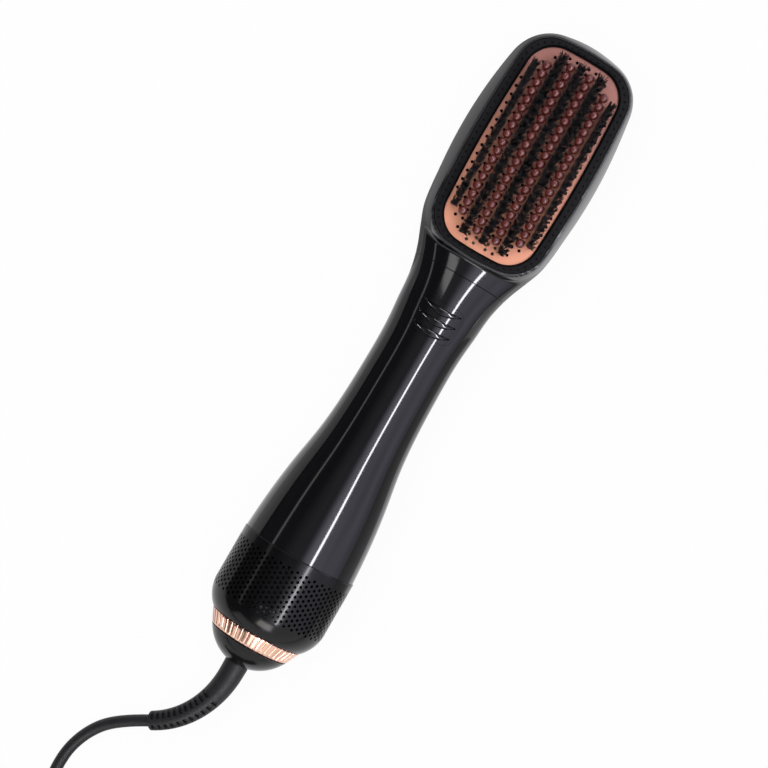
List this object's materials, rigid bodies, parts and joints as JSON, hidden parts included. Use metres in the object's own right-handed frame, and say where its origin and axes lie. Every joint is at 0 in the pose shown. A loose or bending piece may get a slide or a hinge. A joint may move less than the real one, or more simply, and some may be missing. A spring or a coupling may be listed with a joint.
{
  "type": "heated styling brush",
  "caption": "Hot-air paddle brush with a waisted handle, a coppery plate of ball pins and bristle tufts, a perforated air intake, a turning selector ring and a cord with a plug.",
  "frame": {"origin": "on the surface that the brush lies on, under the middle of its length, without the cord", "axes": "+Y from the cord end to the head along the handle, +Z out of the bristle face, +X across the brush"},
  "size_m": [0.1511, 0.5469, 0.0596],
  "materials": {
    "gloss_black": "gloss black",
    "satin_black": "fine satin black",
    "copper_plate": "satin copper coating",
    "rose_gold_plating": "metallised rose gold",
    "pin_nylon": "glossy dark red",
    "bristle_nylon": "matte black",
    "cord_rubber": "matte black",
    "inner_plastic": "moulded grey",
    "heat_plastic": "moulded heat-resisting cream",
    "mica": "mica board",
    "circuit_board": "green board",
    "steel": "bright steel",
    "magnet": "ferrite grey",
    "contact_brass": "bright brass",
    "pin_plating": "bright nickel",
    "filter_cloth": "fine black mesh"
  },
  "bodies": {
    "brush": {"head_front_shell": "gloss_black", "head_rear_shell": "gloss_black", "handle_front_shell": "gloss_black", "handle_rear_shell": "gloss_black", "intake_housing": "gloss_black", "tail_cap": "gloss_black", "bezel_ring": "satin_black", "bristle_plate": "copper_plate", "ball_pin_strip_1": "pin_nylon", "ball_pin_strip_2": "pin_nylon", "ball_pin_strip_3": "pin_nylon", "ball_pin_strip_4": "pin_nylon", "tuft_strip_1": "bristle_nylon", "tuft_strip_2": "bristle_nylon", "tuft_strip_3": "bristle_nylon", "tuft_strip_4": "bristle_nylon", "tuft_strip_5": "bristle_nylon", "strain_relief": "cord_rubber", "power_cord": "cord_rubber", "cord_coil": "cord_rubber", "cord_tail": "cord_rubber", "cord_tie": "cord_rubber", "plug_body": "cord_rubber", "button_return_dome": "cord_rubber", "diffuser_plate": "inner_plastic", "motor_holder": "inner_plastic", "motor_end_bell": "inner_plastic", "button_switch": "inner_plastic", "capacitor": "inner_plastic", "outlet_duct": "heat_plastic", "heater_liner": "heat_plastic", "heater_mica_cross": "mica", "control_board": "circuit_board", "button_board": "circuit_board", "head_screws": "steel", "handle_screws": "steel", "motor_can": "steel", "snap_ring": "steel", "heater_winding": "steel", "thermostat": "steel", "thermal_fuse": "steel", "motor_magnets": "magnet", "mains_leads": "contact_brass", "wire_loom": "contact_brass", "plug_pins": "pin_plating", "intake_filter": "filter_cloth"},
    "selector": {"selector_ring": "rose_gold_plating", "selector_disc": "inner_plastic", "selector_wipers": "contact_brass"},
    "rotor": {"fan_wheel": "inner_plastic", "motor_shaft": "steel", "motor_armature": "magnet"},
    "button": {"cool_button": "gloss_black"}
  },
  "joints": [
    {"name": "selector_turn", "type": "hinge", "parent": "brush", "child": "selector", "pos_m": [0, -0.1559, 0.0298], "axis": [0, 1, 0], "range_deg": [0, 90]},
    {"name": "rotor_spin", "type": "hinge", "parent": "brush", "child": "rotor", "pos_m": [0, -0.0986, 0.0298], "axis": [0, 1, 0], "continuous": true},
    {"name": "button_press", "type": "slide", "parent": "brush", "child": "button", "axis": [0, 0, -1], "range_m": [0, 0.0012], "stiffness_N_per_m": 900, "springref_m": -0.0006, "deforming": ["button_return_dome"]}
  ]
}
